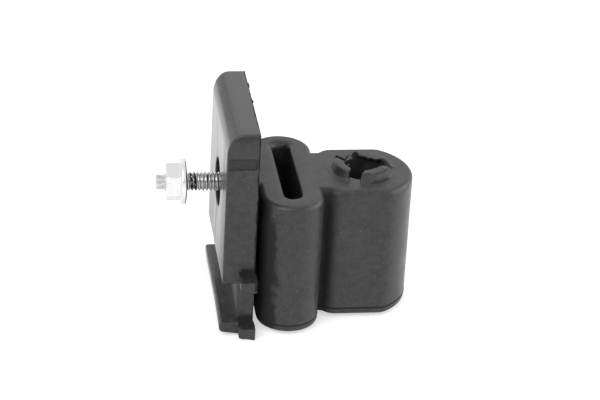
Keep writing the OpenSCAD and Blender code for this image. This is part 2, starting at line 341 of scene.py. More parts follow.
@dataclass(frozen=True)
class RubberFinish(Finish):
    """Satin black moulded rubber, smoother on the face that meets the bracket, with painted light on the
    plate's top and the bore block's end and painted shade from its marks.
    """

    name: str = "satin_black_rubber"
    base: float = 0.017
    # Lighter rubber for haze and scuffs, and for the painted light on the plate's top and the bore block's
    # end.
    worn_and_painted_light: float = 0.049
    dusty: float = 0.34
    # The near-black of torn rubber, also used for the painted shade that the marks put in gaps, corners and
    # creases.
    torn: float = 0.005
    rough: float = 0.40
    rough_spread: float = 0.26
    smooth_face: float = 0.15
    face_depth: float = 0.6
    cloud: Noise = Noise(55.0, 3.0, 0.55)
    film: Noise = Noise(300.0, 5.0, 0.65, 0.4)
    grain: Noise = Noise(2600.0, 3.0, 0.65)
    pores: Noise = Noise(900.0, 2.0, 0.5)
    scuffs: Noise = Noise(420.0, 5.0, 0.7, 0.8)
    specks: Noise = Noise(1700.0, 1.0, 0.5)
    dulling: Noise = Noise(120.0, 4.0, 0.6)
    streaks: Noise = Noise(190.0, 4.0, 0.65)

    def _sleek(self, kit: NodeKit, place: Tap) -> Tap:
        """The roughness of the bracket face: streaked, duller near the stud and the near edge.

        Args:
            place: where it is read.

        Returns:
            The roughness.
        """
        _, y, z = kit.axes(place)
        streaks = kit.noise(kit.stretched(place, (1.0, 1.0, 0.2)), self.streaks)
        edge = y.step(-6.0, -26.0) * 0.16 + z.step(4.0, -16.0) * 0.07
        edge = edge + (y * y + z * z).power(0.5).step(12.0, 5.0) * 0.10 - z.step(8.0, 22.0) * 0.07
        return streaks.ramp(0.35, 0.75) * 0.12 + (self.smooth_face - 0.05) + edge

    def shader_values(self, kit: NodeKit) -> dict[str, Any]:
        """What the rubber's shader reads.


        Returns:
            Values for the shader's inputs.
        """
        place = kit.place()
        x, y, z = kit.axes(place)
        cloud, film, grain, pores, specks = (
            kit.noise(place, look) for look in (self.cloud, self.film, self.grain, self.pores, self.specks)
        )
        scuffs = kit.noise(kit.stretched(place, (1.0, 0.22, 1.0), (0.0, 0.5, 0.3)), self.scuffs)
        scuffed = scuffs.ramp(0.52, 0.74)
        haze = cloud.ramp(0.35, 0.75) * 0.3 + film.ramp(0.36, 0.64) * 0.42 + pores.ramp(0.35, 0.65) * 0.28
        web = kit.normal()[0].ramp(-0.3, -0.6) * z.step(-26.5, -26.9) * x.step(5.6, 5.3) * x.step(4.2, 4.6)
        face = x.step(2.0 * self.face_depth, self.face_depth).maximum(web)
        # Painted light: the colour mix below makes the plate's top and its rounded top edge lighter.
        crown = z.step(29.6, 30.1)
        # Painted highlight: the colour mix below lightens the bore block's right end.
        end = x.step(60.0, 67.0) * z.step(3.0, 0.0)
        # The marks mix in torn rubber and painted shade.
        dark = RubberMarks(kit, place).strongest()
        tone = grey(self.base)
        for share, colour in (
            (haze, grey(self.worn_and_painted_light, 0.01)),
            (scuffed * 0.35, grey(self.worn_and_painted_light * 1.6, 0.01)),
            (crown * 0.6, grey(self.worn_and_painted_light * 1.3, 0.01)),
            (end * 0.5, grey(self.worn_and_painted_light * 1.5, 0.01)),
            (dark * 0.95, grey(self.torn)),
            (specks.ramp(0.775, 0.81) * 0.8, grey(self.dusty, 0.03)),
        ):
            tone = kit.mixed(share, tone, colour)
        shine = crown * (y.step(-20.0, 26.0) * 0.20 + 0.12)
        dull = film * self.rough_spread + (self.rough - 0.5 * self.rough_spread) + scuffed * 0.14 - shine
        dull = dull - end * 0.08 + (kit.noise(place, self.dulling) - 0.5) * 0.35
        roughness = (dull * (1.0 - face) + self._sleek(kit, place) * face + dark * 0.55).clamped()
        small = kit.bump(grain * 0.6 + pores * 0.4, 0.035 * MM, 0.55)
        soft = kit.bump(cloud * 0.7 + film * 0.3, 0.22 * MM, 0.5, small)
        return {"Base Color": tone, "Roughness": roughness, "Normal": soft, "IOR": 1.52}


@dataclass(frozen=True)
class ZincFinish(Finish):
    """Bright zinc plate with faint turning marks and a few dull patches, and on the nut painted shade where
    the flange's rim meets the plate.
    """

    tone: float = 0.80
    shade: float = 0.62
    rough: float = 0.24
    grime: bool = False
    dent: float = 0.10
    speckle: float = 0.5
    grease: Noise = Noise(900.0, 3.0, 0.6, 0.6)
    patches: Noise = Noise(620.0, 4.0, 0.6, 0.5)
    dents: Noise = Noise(330.0, 2.0, 0.5)
    turning: Noise = Noise(2400.0, 3.0, 0.6)
    grit: Noise = Noise(5200.0, 2.0, 0.5)
    smears: tuple[tuple[float, float], ...] = ((-9.4, 0.75), (-8.1, 0.6), (-3.7, 0.28))

    def _grease(self, kit: NodeKit, place: Tap, radius: Tap) -> Tap:
        """Old grease in the thread: two thick smears, one thin one and a film in the roots.

        Args:
            place: where it is read.
            radius: distance from the stud's axis.

        Returns:
            The grease's mask, from 0 to 1.
        """
        x, y, z = kit.axes(place)
        cloud = kit.noise(place, self.grease)
        deep = radius.step(3.08, 2.72)
        front = (y * -0.9 + z * 0.45).step(0.6, 2.0)
        smears = largest(x.about(middle, reach, 0.4 * reach) for middle, reach in self.smears)
        blot = (smears * front * cloud.ramp(0.36, 0.50)).maximum(deep * cloud.ramp(0.42, 0.62) * 0.45)
        return blot.maximum(deep * 0.2).clamped()

    def shader_values(self, kit: NodeKit) -> dict[str, Any]:
        """What the metal's shader reads.


        Returns:
            Values for the shader's inputs.
        """
        place = kit.place()
        patches, dents, grit = (kit.noise(place, look) for look in (self.patches, self.dents, self.grit))
        marks = kit.noise(kit.stretched(place, (1.0, 0.06, 0.06)), self.turning)
        dull = patches.ramp(0.46, 0.70)
        colour = kit.mixed(dull, grey(self.tone, 0.004), grey(self.shade, 0.006))
        colour = kit.mixed(grit.ramp(0.62, 0.74) * self.speckle, colour, grey(self.shade * 0.7))
        x, y, z = kit.axes(place)
        radius = (y * y + z * z).power(0.5)
        if self.grime:
            colour = kit.mixed(radius.step(2.92, 3.10) * 0.5, colour, grey(0.24))
            colour = kit.mixed(x.step(-18.3, -18.8), colour, grey(0.86))
            colour = kit.mixed(self._grease(kit, place, radius), colour, grey(0.012))
        else:
            # Painted shade: darkens the flange's rim where it sits against the plate.
            seat = x.step(-11.75, -11.6) * radius.step(4.6, 5.2)
            colour = kit.mixed(seat * 0.8, colour, grey(0.06))
        roughness = dull * 0.16 + marks * 0.08 + (self.rough - 0.04)
        fine = kit.bump(marks * 0.6 + grit * 0.4, 0.012 * MM, 0.5)
        soft = kit.bump(dents, self.dent * MM, 0.35, fine)
        return {"Base Color": colour, "Roughness": roughness, "Normal": soft, "Metallic": 1.0}


def blended(first: Array, second: Array, radius: float) -> Array:
    """Two shapes joined with a fillet.

    Args:
        first: distances to one shape.
        second: distances to the other.
        radius: about the fillet's radius.

    Returns:
        Distances to both together.
    """
    share = np.maximum(radius - np.abs(first - second), 0.0) / radius
    return np.minimum(first, second) - share * share * radius * 0.25


def trimmed(first: Array, second: Array, radius: float) -> Array:
    """The part that two shapes share, with its edges rounded."""
    return -blended(-first, -second, radius)


def rounded(across: Array, along: Array, radius: Any) -> Array:
    """A prism with rounded edges.

    Args:
        across: distances to its outline.
        along: distances to its two end planes.
        radius: the radius of the edges, a number or an array.

    Returns:
        Distances to the prism.
    """
    a, b = across + radius, along + radius
    return np.minimum(np.maximum(a, b), 0.0) + np.hypot(np.maximum(a, 0.0), np.maximum(b, 0.0)) - radius


def slab(value: Array, low: float, high: float) -> Array:
    """Distances to the space between two planes."""
    return np.abs(value - 0.5 * (low + high)) - 0.5 * (high - low)


def corner_plate(u: Array, v: Array, half_u: float, half_v: float, radius: Any) -> Array:
    """Distances to a rectangle about zero with rounded corners."""
    return rounded(np.abs(u) - half_u, np.abs(v) - half_v, radius)


def unit(value: Array) -> Array:
    """Values held between 0 and 1."""
    return np.clip(value, 0.0, 1.0)


def egg(point: tuple[Array, Array, Array], middle: Triple, half: Triple) -> Array:
    """A value below 0 inside an egg with a middle and half sizes, and 0 on it."""
    return np.sqrt(sum(((p - m) / h) ** 2 for p, m, h in zip(point, middle, half))) - 1.0


class Grit:
    """Smooth repeatable noise on a random lattice, for torn and moulded edges."""

    def __init__(self, seed: int, cell: float) -> None:
        """Draws the lattice.

        Args:
            seed: the random draw.
            cell: size of a cell in millimetres.
        """
        self.cell = cell
        self.size = 24
        self.lattice = np.random.default_rng(seed).uniform(-1.0, 1.0, (self.size,) * 3)

    def at(self, x: Array, y: Array, z: Array) -> Array:
        """The noise at each point.

        Args:
            x: first coordinates in millimetres.
            y: second coordinates.
            z: third coordinates.

        Returns:
            Values from -1 to 1.
        """
        whole, part = [], []
        for value in (x, y, z):
            scaled = value / self.cell
            low = np.floor(scaled)
            rest = scaled - low
            whole.append(low.astype(int))
            part.append(rest * rest * (3.0 - 2.0 * rest))
        total = 0.0
        for corner in range(8):
            bits = (corner & 1, corner >> 1 & 1, corner >> 2 & 1)
            index = tuple((w + b) % self.size for w, b in zip(whole, bits))
            weight = 1.0
            for p, b in zip(part, bits):
                weight = weight * (p if b else 1.0 - p)
            total = total + self.lattice[index] * weight
        return total


class Skin:
    """Turns a field of distances into a mesh of even quads that lie on its surface."""

    probe = 0.01
    longest_move = 0.2
    margin = 0.6
    sharp = math.radians(50.0)

    def __init__(self, form: Field, lines: tuple[Array, Array, Array]) -> None:
        """Keeps the field and the grid's lines, all in millimetres."""
        self.form = form
        self.lines = lines

    def _crossings(self, values: Array) -> tuple[Array, Array]:
        """Finds where the grid's edges cross the surface.

        Args:
            values: the field at the grid's points.

        Returns:
            The cell numbers of each quad, and the crossing points.
        """
        inside = values < 0.0
        cells_shape = np.array(values.shape) - 1
        quads, points = [], []
        for axis in range(3):
            low, high = [slice(None)] * 3, [slice(None)] * 3
            low[axis], high[axis] = slice(0, -1), slice(1, None)
            start = np.argwhere(inside[tuple(low)] != inside[tuple(high)])
            end = start.copy()
            end[:, axis] += 1
            first, last = values[tuple(start.T)], values[tuple(end.T)]
            share = first / (first - last)
            place = np.stack([line[start[:, k]] for k, line in enumerate(self.lines)], 1)
            line = self.lines[axis]
            place[:, axis] += share * (line[end[:, axis]] - line[start[:, axis]])
            one, two = (axis + 1) % 3, (axis + 2) % 3
            around = []
            for a, b in ((0, 0), (-1, 0), (-1, -1), (0, -1)):
                cell = start.copy()
                cell[:, one] += a
                cell[:, two] += b
                around.append(np.ravel_multi_index(tuple(cell.T), tuple(cells_shape)))
            quad = np.stack(around, 1)
            outward = inside[tuple(start.T)]
            quads.append(np.where(outward[:, None], quad, quad[:, ::-1]))
            points.append(place)
        return np.vstack(quads), np.vstack(points)

    def _settle(self, points: Array) -> Array:
        """Moves points along the field's slope until they lie on the surface.

        Args:
            points: places near the surface, in millimetres.

        Returns:
            The moved points.
        """
        for _ in range(3):
            value = self.form(*points.T)
            ahead = [self.form(*(points + offset).T) - value for offset in np.eye(3) * self.probe]
            slope = np.stack(ahead, 1) / self.probe
            size = np.maximum((slope * slope).sum(1), 0.25)
            move = (value / size)[:, None] * slope
            length = np.linalg.norm(move, axis=1, keepdims=True)
            points = points - move * np.minimum(1.0, self.longest_move / np.maximum(length, 1e-9))
        return points

    def _values(self, stride: int = 4, chunk: int = 400000) -> Array:
        """Samples the field: everywhere on a coarse grid, then finely only near the surface.

        Args:
            stride: fine cells in a coarse one.
            chunk: points sampled at once.

        Returns:
            The field at the grid's points, with only its sign where the surface is far.
        """
        lines = self.lines
        picks = [np.unique(np.append(np.arange(0, len(line), stride), len(line) - 1)) for line in lines]
        a, b, c = (line[pick] for line, pick in zip(lines, picks))
        coarse = np.array(self.form(a[:, None, None], b[None, :, None], c[None, None, :]))
        spans = np.meshgrid(np.diff(a), np.diff(b), np.diff(c), indexing="ij")
        reach = np.sqrt(sum(span * span for span in spans)) + self.margin
        near = np.zeros(reach.shape, bool)
        for corner in range(8):
            part = tuple(slice(corner >> k & 1, (corner >> k & 1) + reach.shape[k]) for k in range(3))
            near |= np.abs(coarse[part]) < reach
        for axis in range(3):
            wide = near.copy()
            first, last = [slice(None)] * 3, [slice(None)] * 3
            first[axis], last[axis] = slice(0, -1), slice(1, None)
            wide[tuple(last)] |= near[tuple(first)]
            wide[tuple(first)] |= near[tuple(last)]
            near = wide
        blocks = np.ix_(
            *(
                np.clip(np.searchsorted(pick, np.arange(len(line)), side="right") - 1, 0, len(pick) - 2)
                for line, pick in zip(lines, picks)
            )
        )
        values = np.where(coarse[blocks] < 0.0, -1.0, 1.0)
        spots = np.argwhere(near[blocks])
        for start in range(0, len(spots), chunk):
            part = spots[start : start + chunk]
            values[tuple(part.T)] = self.form(*(line[part[:, k]] for k, line in enumerate(lines)))
        return values

    def mesh(self, name: str, limit: int) -> Any:
        """Builds the mesh.

        Args:
            name: the mesh's name.
            limit: the most triangles that it may keep, flat faces being joined first.

        Returns:
            The Blender mesh, in metres, its faces outward.
        """
        quads, crossings = self._crossings(self._values())
        used, compact = np.unique(quads, return_inverse=True)
        compact = compact.reshape(quads.shape)
        count = np.bincount(compact.ravel(), minlength=len(used)).astype(float)
        sums = [np.bincount(compact.ravel(), np.repeat(crossings[:, k], 4), len(used)) for k in range(3)]
        places = self._settle(np.stack([total / count for total in sums], 1))
        data = quad_mesh(name, places * MM, compact)
        LOG.info("%s starts with %d faces", name, len(quads))
        if 2 * len(quads) > limit:
            data = thinned(data, 0.5 * limit / len(quads))
        data.shade_smooth()
        data.set_sharp_from_angle(angle=self.sharp)
        return data


def quad_mesh(name: str, points: Array, quads: Array) -> Any:
    """A mesh from arrays.

    Args:
        name: its name.
        points: the corners in metres.
        quads: four corner numbers for each face.

    Returns:
        The Blender mesh.
    """
    data = bpy.data.meshes.new(name)
    data.vertices.add(len(points))
    data.vertices.foreach_set("co", points.astype(np.float32).ravel())
    data.loops.add(quads.size)
    data.loops.foreach_set("vertex_index", quads.astype(np.int32).ravel())
    data.polygons.add(len(quads))
    data.polygons.foreach_set("loop_start", np.arange(0, quads.size, 4, dtype=np.int32))
    data.update(calc_edges=True)
    data.validate()
    return data


def plain_copy(obj: Any, name: str) -> Any:
    """The mesh that an object has with its modifiers, after which the object goes.

    Args:
        obj: the object.
        name: the new mesh's name.

    Returns:
        The mesh.
    """
    graph = bpy.context.evaluated_depsgraph_get()
    data = bpy.data.meshes.new_from_object(obj.evaluated_get(graph), depsgraph=graph)
    bpy.data.objects.remove(obj)
    data.name = name
    return data


def placed(name: str, data: Any) -> Any:
    """A new object in the scene with a mesh."""
    obj = bpy.data.objects.new(name, data)
    bpy.context.scene.collection.objects.link(obj)
    return obj


def thinned(data: Any, keep: float) -> Any:
    """A mesh with its flat faces joined, down to a share of them.

    Args:
        data: the mesh, which goes.
        keep: the share of its faces to keep.

    Returns:
        The new mesh.
    """
    name = data.name
    obj = placed(name, data)
    modifier = obj.modifiers.new("join_flat", "DECIMATE")
    modifier.ratio = keep
    return plain_copy(obj, name)


def grid_lines(stops: Curve) -> Array:
    """Lines of a grid whose spacing changes from stop to stop.

    Args:
        stops: pairs of a place and the spacing up to the next place, in millimetres.

    Returns:
        The lines' places.
    """
    parts = []
    for (start, spacing), (end, _) in zip(stops, stops[1:]):
        count = max(1, round((end - start) / spacing))
        parts.append(np.linspace(start, end, count, endpoint=False))
    return np.concatenate([*parts, [stops[-1][0]]])


X_STOPS: Curve = (
    (-1.6, 0.35), (-0.8, 0.16), (1.2, 0.5), (4.2, 0.3), (10.4, 0.12), (11.4, 0.35), (37.4, 0.19),
    (64.4, 0.35), (69.3, 1),
)
Y_STOPS: Curve = ((0.0, 0.19), (13.2, 0.35), (17.8, 0.5), (25.2, 0.11), (26.8, 0.3), (32.4, 1))
Z_STOPS: Curve = (
    (-46.2, 0.25), (-43.0, 0.12), (-41.4, 0.35), (-40.0, 0.8), (-28.0, 0.3), (-22.0, 0.8), (1.6, 0.18),
    (7.5, 0.8), (16.2, 0.2), (17.8, 0.6), (20.8, 0.2), (22.2, 0.6), (28.0, 0.3), (31.0, 1),
)

@dataclass(frozen=True)
class CollarPiece:
    """One piece that is left of the torn collar.

    Angles are in degrees about the collar's axis, the other values in millimetres. The
    ends give an angle at each radius, the lip and crown a radius and a height at each
    angle, and the creases a height on the wall between two angles.
    """

    start: Curve
    end: Curve
    lip: Curve
    crown: Curve
    rake: float = 0.0
    creases: tuple[Triple, ...] = ()


NEAR_PIECE = CollarPiece(
    start=((6.4, -90.0), (7.5, -94.5), (8.8, -99.5), (10.4, -101.5)),
    end=((6.0, -26.0), (8.8, -19.0)),
    lip=((-102, 6.7), (-91, 6.6), (-75, 6.35), (-58, 6.3), (-36, 6.35), (-24, 6.85), (-19, 7.6)),
    crown=((-102, 3.1), (-36, 3.1), (-25, 2.9), (-19, 2.5)),
    creases=((2.68, -98.0, -40.0), (0.3, -84.0, -36.0)),
)
FAR_PIECE = CollarPiece(
    start=((6.0, 9.0), (8.8, 7.5), (11.0, 5.0)),
    end=((6.0, 101.0), (8.8, 103.0)),
    lip=(
        (4, 10.5), (9, 9.8), (14, 9.2), (19, 8.8), (25, 8.5), (29, 7.9), (32, 6.8), (35, 6.0),
        (40, 5.8), (50, 5.95), (58, 5.55), (63, 5.6), (76, 6.4), (92, 6.8), (104, 7.0),
    ),
    crown=((4, 0.2), (8, 0.9), (13, 1.8), (19, 2.3), (35, 2.25), (100, 2.2)),
    rake=0.45,
)
LEFT_PIECE = CollarPiece(
    start=((6.0, 178.0), (8.8, 158.0)),
    end=((6.0, 225.0), (7.0, 226.5), (7.8, 228.5), (9.6, 230.8), (10.6, 233.0)),
    lip=((155, 7.4), (174, 6.7), (204, 6.6), (223, 6.9), (228, 7.2), (234, 7.4)),
    crown=((155, 2.8), (168, 3.1), (234, 3.1)),
)


@dataclass
class Moulding:
    """The rubber body: plate, hook channel, slot block, bore block and torn collar, in millimetres."""

    finish: RubberFinish = field(default_factory=RubberFinish)
    plate_t: float = 11.0
    plate_half: float = 26.3
    plate_top: float = 30.3
    plate_foot: float = -26.5
    plate_round: tuple[float, float] = (5.4, 8.0)
    edge: float = 0.9
    fillet: float = 0.08
    side_edge: float = 0.9
    web_x: float = 4.9
    hook_foot: float = -45.9
    lip_top: float = -40.5
    lip_out: float = 0.4
    lip_rise: float = 1.6
    lip_half: float = 28.2
    lip_extra: float = 0.9
    tab_half: float = 31.7
    tab_l: float = 5.2
    tab_h: float = 4.7
    tab_rise: float = 0.9
    tab_flash: float = 0.5
    upper_tab_z: float = -27.4
    top: float = 3.9
    bottom: float = -44.7
    top_round: float = 2.0
    bottom_round: float = 1.3
    slot_block_x: float = 23.9
    slot_block_r: float = 10.8
    slot_block_y: float = 18.0
    slot_x: float = 24.15
    slot_r: float = 3.1
    slot_y: tuple[float, float] = (-18.4, 18.6)
    slot_rim: float = 1.8
    bore_block_x0: float = 35.6
    bore_block_half: float = 17.25
    bore_block_corner: float = 6.0
    bow_x: float = 48.7
    bow_r: float = 19.7
    bow_end: float = 68.38
    bore_x: float = 51.1
    bore_r: float = 8.0
    front_neck: float = 10.5
    rear_neck: float = 14.8
    recess_r: float = 8.65
    recess_depth: float = 5.0
    stud_r: float = 3.175
    head_r: float = 11.0
    head_x: float = 6.4
    head_t: float = 2.4
    mark: tuple[float, float, float, float] = (*MARK_PLACE, 4.8, 2.1)
    mark_depth: float = 0.50
    collar_x: float = COLLAR_X
    crown_r: float = 9.45
    crown_z: float = 7.0
    collar_lean: float = 0.534
    collar_foot: float = 0.5
    crown_round: float = 0.5
    crease: float = 0.30
    ring_r: float = 12.1
    ring_h: float = 0.16
    lip_under: float = 5.35
    seam_z: float = SEAM_Z
    seam_half: float = 0.14
    seam_reach: tuple[float, float] = (0.03, 0.30)
    flash_x: float = 10.9
    flash_half: float = 0.17
    flash_reach: tuple[float, float] = (-0.5, 0.34)
    flash_foot: float = -44.0
    flash_eggs: Curve = ((14.3, 2.2), (1.1, 1.1))
    flash_egg_z: float = 29.95
    block_fillet: float = 0.8
    tab_fillet: float = 0.4
    stump_turn: float = 126.0
    stump_half: float = 26.0
    stump_r: tuple[float, float] = (7.7, 9.1)
    stump_h: float = 0.45
    flap_h: float = 1.0
    crack_half: float = 0.06
    crack_y: tuple[float, float] = (5.9, 8.0)
    nub: Triple = (-5.2, -0.7, 5.9)
    nub_r: float = 0.45
    collar_reach: float = 15.0
    triangles: int = 150000

    def __post_init__(self) -> None:
        """Draws the noises that roughen torn edges and flash."""
        self.tear = Grit(11, 1.1)
        self.shred = Grit(23, 0.45)
        self.nick = Grit(37, 2.3)

    def _section(self, x: Array, z: Array) -> Array:
        """Side view of plate and web, down into the lip.

        Args:
            x: coordinates along X, in millimetres.
            z: heights.

        Returns:
            The distances.
        """
        across, tall = self.plate_round
        p, q = x - across, z - (self.plate_top - tall)
        bend = np.hypot(p / across, q / tall)
        slope = np.hypot(p / across**2, q / tall**2)
        oval = np.where(bend < 0.1, -across, bend * (bend - 1.0) / np.maximum(slope, 1e-6))
        front = np.where((p < 0) & (q > 0), oval, np.maximum(-x, z - self.plate_top))
        shape = trimmed(front, x - self.plate_t, self.edge)
        notch = blended(self.web_x - x, self.plate_foot - z, self.fillet)
        return np.maximum(trimmed(shape, notch, self.edge), self.hook_foot + 0.6 - z)

    def _lip(self, x: Array, z: Array) -> Array:
        """Side view of the lip, its underside rising to the outer edge.

        Args:
            x: coordinates along X, in millimetres.
            z: heights.

        Returns:
            The distances.
        """
        root = self.plate_t - 1.0
        run = root + self.lip_out
        length = math.hypot(run, self.lip_rise)
        slope = ((self.hook_foot - z) * run + (root - x) * self.lip_rise) / length
        under = trimmed(self.hook_foot - z, slope, 0.8)
        shape = trimmed(trimmed(under, -self.lip_out - x, 1.3), z - self.lip_top, 1.0)
        return np.maximum(shape, x - self.plate_t)

    def _tab(self, x: Array, z: Array, low: float) -> Array:
        """Side view of a tab whose underside rises away from the blocks.

        Args:
            x: coordinates along X, in millimetres.
            z: heights.
            low: the tab's lowest height.

        Returns:
            The distances.
        """
        length = math.hypot(self.tab_l, self.tab_rise)
        slope = ((low - z) * self.tab_l + (self.plate_t - x) * self.tab_rise) / length
        ends = np.maximum(self.plate_t - self.tab_l - x, x - self.plate_t - self.tab_flash)
        return trimmed(trimmed(slope, ends, 0.6), z - low - self.tab_h, 0.5)

    def _plate(self, x: Array, y: Array, z: Array) -> Array:
        """The mounting plate with its web, lip, side tabs and flash.

        Args:
            x: coordinates along X, in millimetres.
            y: coordinates along Y.
            z: heights.

        Returns:
            The distances.
        """
        side = np.abs(y)
        shape = rounded(self._section(x, z), side - self.plate_half, self.side_edge)
        flare = 0.35 * unit((-y - 8.0) / 20.0) * unit((8.0 - x) / 8.0)
        lip_side = np.maximum(-y, y - self.lip_extra) - self.lip_half
        shape = blended(shape, rounded(self._lip(x + flare, z), lip_side, 0.8), self.fillet)
        nick, tear, shred = (grit.at(x, y, z) for grit in (self.nick, self.tear, self.shred))
        for low in (self.hook_foot, self.upper_tab_z):
            torn = unit((z - low - self.tab_h + 1.2) / 0.8)
            wobble = 0.12 * nick + torn * (0.42 * tear + 0.2 * shred)
            outside = side - self.tab_half + 0.15 * np.abs(wobble)
            tab = rounded(self._tab(x, z, low) + wobble, outside, self.tab_fillet)
            shape = blended(shape, tab, self.tab_fillet)
        flash = 0.30 * self.nick.at(x + 5.0, y, z) + 0.16 * tear + 0.02
        rim = np.maximum(side - self.plate_half, np.maximum(z - self.plate_top, self.flash_foot - z))
        fin = np.maximum(rim - np.clip(flash, *self.flash_reach), np.abs(x - self.flash_x) - self.flash_half)
        shape = blended(shape, fin, 0.25)
        back = x - self.plate_t - np.where(side > self.plate_half, self.tab_flash, 0.06)
        shape = np.maximum(shape, back)
        for middle, half in self.flash_eggs:
            bump = egg((x, y, z), (self.plate_t, middle, self.flash_egg_z), (0.5, half, 0.4))
            shape = blended(shape, 0.42 * bump, 0.15)
        return np.maximum(shape, np.maximum(self.hook_foot - z, z - self.plate_top))

    def _outline(self, x: Array, y: Array) -> Array:
        """Plan view of both blocks with their necks, the slot still closed.

        Args:
            x: coordinates along X, in millimetres.
            y: coordinates along Y.

        Returns:
            The distances.
        """
        side = np.abs(y)
        reach = np.maximum(side - self.slot_block_y, 0.0)
        front = np.hypot(x - self.slot_block_x, reach) - self.slot_block_r
        corner = self.bore_block_corner
        half = self.bore_block_half - corner
        bow = self.bow_r - corner
        tip_x = self.bow_x + math.sqrt(bow * bow - half * half)
        tip_angle = math.atan2(half, tip_x - self.bow_x)
        left_x = self.bore_block_x0 + corner
        box = corner_plate(x - left_x - 50.0, y, 50.0, half, 0.0)
        rear = np.maximum(box, np.hypot(x - self.bow_x, y) - bow)
        dx, dy = x - tip_x, side - half
        turn = np.arctan2(dy, dx)
        at_tip = (turn > tip_angle) & (turn < 0.5 * math.pi) & (side > half)
        rear = np.where(at_tip, np.hypot(dx, dy), rear) - corner
        shape = blended(front, rear, 0.4)
        necks = np.minimum(
            np.maximum(side - self.front_neck, slab(x, self.plate_t - 2.0, self.slot_block_x)),
            np.maximum(side - self.rear_neck, slab(x, self.slot_block_x, self.bore_x)),
        )
        return blended(shape, necks, self.block_fillet)

    def _blocks(self, x: Array, y: Array, z: Array) -> Array:
        """Both blocks and the necks, with the seam that the mould leaves near their foot.

        Args:
            x: coordinates along X, in millimetres.
            y: coordinates along Y.
            z: heights.

        Returns:
            The distances.
        """
        outline = self._outline(x, y)
        middle = 0.5 * (self.top + self.bottom)
        radius = np.where(z > middle, self.top_round, self.bottom_round)
        shape = rounded(outline, slab(z, self.bottom, self.top), radius)
        spread = 0.14 * self.nick.at(x, y, z) + 0.10 * self.tear.at(x, y, z) + 0.10
        spread = np.clip(spread, *self.seam_reach)
        seam = np.maximum(np.abs(z - self.seam_z) - self.seam_half, outline - spread)
        shape = blended(shape, seam, 0.12)
        return np.maximum(shape, x - self.bow_end)

    def _piece(self, piece: CollarPiece, radius: Array, angle: Array, z: Array, torn: Array) -> Array:
        """Distances to one piece of the collar.

        Args:
            piece: its sizes.
            radius: distance from the collar's axis.
            angle: angle about it in degrees, from -180 to 180.
            z: height.
            torn: how far the torn edges stray at each point.

        Returns:
            The distances.
        """
        middle = 0.5 * (piece.start[-1][1] + piece.end[-1][1])
        turn = (angle - middle + 180.0) % 360.0 - 180.0
        first = np.interp(radius, *zip(*piece.start)) - middle
        last = np.interp(radius, *zip(*piece.end)) - middle
        degree = math.pi / 180.0 * radius
        beyond = (turn - last) * degree + piece.rake * (z - self.top)
        ends = np.maximum(beyond, (first - turn) * degree) + torn
        lip = np.interp(turn + middle, *zip(*piece.lip))
        crown = self.top + np.interp(turn + middle, *zip(*piece.crown))
        lip = np.maximum(lip - 0.55 * np.maximum(crown - z, 0.0), np.minimum(lip, self.bore_r)) + 1.2 * torn
        lean = math.atan(self.collar_lean)
        wall = (radius - self.crown_r - (self.crown_z - z) * self.collar_lean) * math.cos(lean)
        for level, low, high in piece.creases:
            fade = unit(np.minimum(turn + middle - low, high - turn - middle) / 8.0)
            wall = np.maximum(wall, fade * self.crease - np.hypot(wall, z - self.top - level))
        body = trimmed(wall, z - crown + 0.15 * torn, self.crown_round)
        ring = np.maximum(radius - self.ring_r, z - self.top - self.ring_h)
        body = np.maximum(blended(body, ring, self.collar_foot), self.top - 2.0 - z)
        body = trimmed(body, lip - radius, 0.35)
        return trimmed(body, ends, 0.22)

    def _flap_sides(self, dx: Array, y: Array) -> list[Array]:
        """Distances to the two lines along which the loose flap is torn free."""
        return [a * (dx - u) + b * (y - v) for a, b, u, v in CRACKS]

    def _scraps(self, dx: Array, y: Array, z: Array, torn: Array) -> Array:
        """The low stump and the loose flap between two pieces.

        Args:
            dx: distance from the collar's axis along X.
            y: distance along Y.
            z: height.
            torn: how far the torn edges stray at each point.

        Returns:
            The distances.
        """
        radius, angle = np.hypot(dx, y), np.degrees(np.arctan2(y, dx))
        turn = (angle - self.stump_turn + 180.0) % 360.0 - 180.0
        ends = (np.abs(turn) - self.stump_half) * math.pi / 180.0 * radius
        stump = trimmed(np.maximum(ends, slab(radius, *self.stump_r)), z - self.top - self.stump_h, 0.25)
        flap = trimmed(np.maximum(*self._flap_sides(dx, y)), y - 0.25 * dx - 12.0, 0.5)
        flap = trimmed(flap, z - self.top - self.flap_h, 0.3)
        return np.maximum(np.minimum(stump, flap) + 0.6 * torn, self.top - 1.0 - z)

    def _collar(self, x: Array, y: Array, z: Array) -> Array:
        """What is left of the collar round the bore's mouth.

        Args:
            x: coordinates along X, in millimetres.
            y: coordinates along Y.
            z: heights.

        Returns:
            The distances.
        """
        dx = x - self.collar_x
        radius = np.hypot(dx, y)
        angle = np.degrees(np.arctan2(y, dx))
        torn = 0.20 * self.tear.at(x, y, z) + 0.10 * self.shred.at(x, y, z)
        shape = self._scraps(dx, y, z, torn)
        for piece in (NEAR_PIECE, FAR_PIECE, LEFT_PIECE):
            shape = np.minimum(shape, self._piece(piece, radius, angle, z, torn))
        nub_x, nub_y, nub_z = self.nub
        nub = np.sqrt((dx - nub_x) ** 2 + (y - nub_y) ** 2 + ((z - nub_z) * 0.9) ** 2) - self.nub_r
        return blended(shape, nub, 0.5)

    def _with_collar(self, shape: Array, x: Array, y: Array, z: Array) -> Array:
        """Joins the collar to the block, its foot filleted, and cuts the cracks.

        Args:
            shape: distances to the block.
            x: coordinates along X, in millimetres.
            y: coordinates along Y.
            z: heights.

        Returns:
            Distances to the block with its collar.
        """
        left, right = self._flap_sides(x - self.collar_x, y)
        span = np.maximum(slab(y, *self.crack_y), self.top + 0.2 - z)
        cracks = np.maximum(np.minimum(np.abs(left), np.abs(right)) - self.crack_half, span)
        return trimmed(blended(shape, self._collar(x, y, z), 0.35), -cracks, 0.08)

